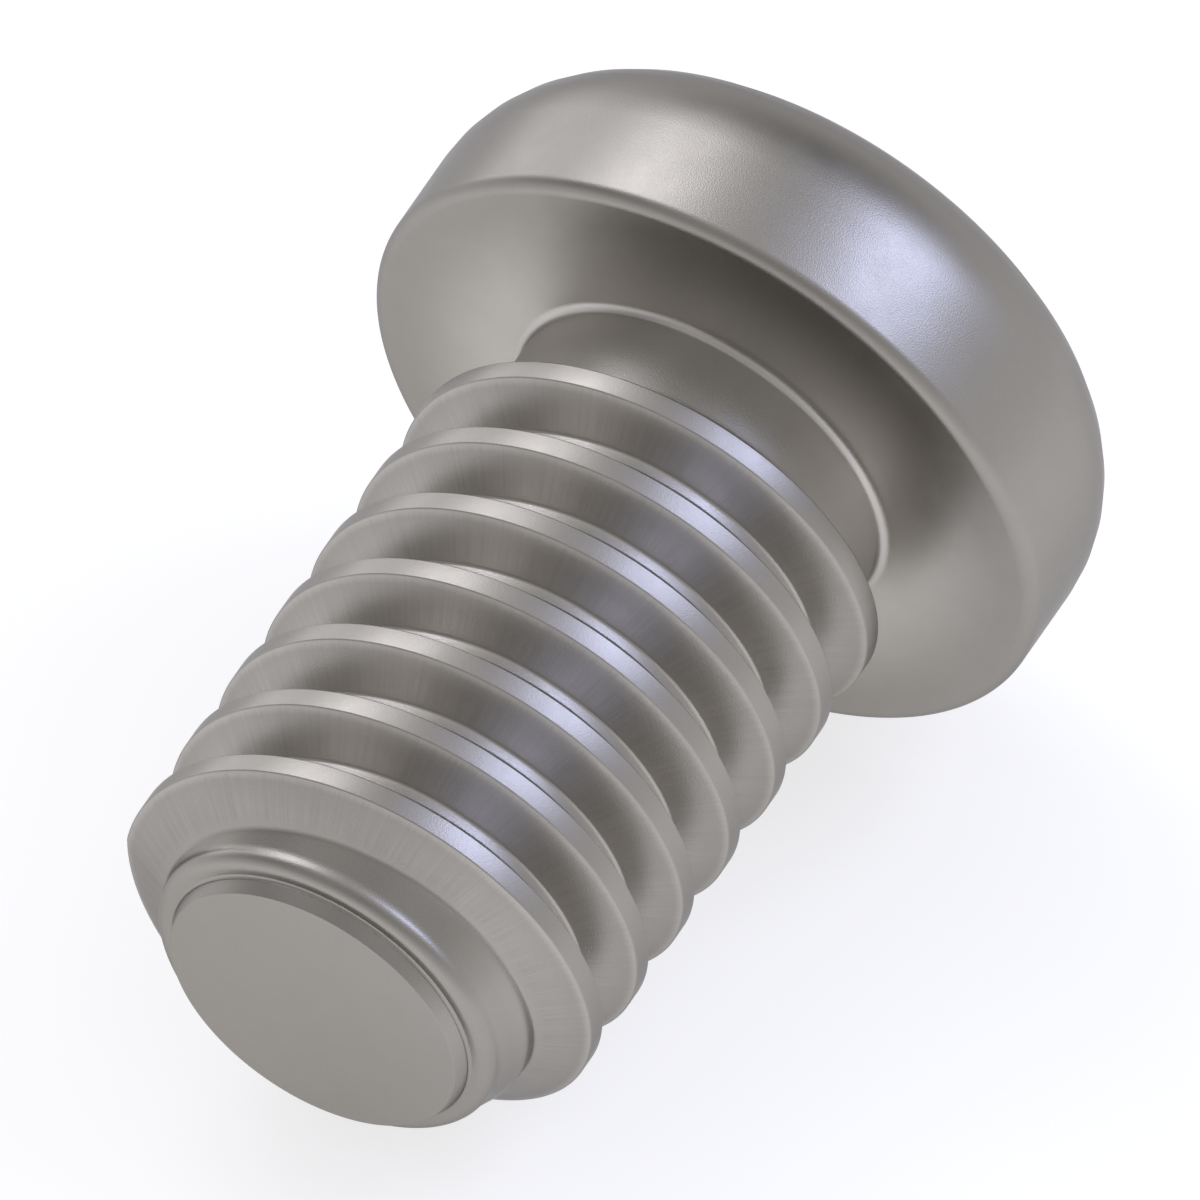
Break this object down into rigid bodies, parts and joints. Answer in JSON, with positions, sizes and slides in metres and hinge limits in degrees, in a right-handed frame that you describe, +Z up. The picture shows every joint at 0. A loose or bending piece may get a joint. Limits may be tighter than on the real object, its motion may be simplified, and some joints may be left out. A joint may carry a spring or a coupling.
{
  "type": "cap screw",
  "caption": "Short low-head cap screw with a hexagon socket, a smooth neck, a coarse thread and a stepped tip, lying on its side.",
  "frame": {"origin": "on the surface that the screw lies on, under the middle of its box", "axes": "+X from the tip towards the head, along the surface; +Z up; the screw's own axis lies in the XZ plane and rises 10.7 degrees towards the head"},
  "size_m": [0.0082, 0.0058, 0.0058],
  "materials": {
    "stainless_steel": "satin, bead blasted"
  },
  "bodies": {
    "root": {"cap_screw": "stainless_steel"}
  },
  "joints": []
}
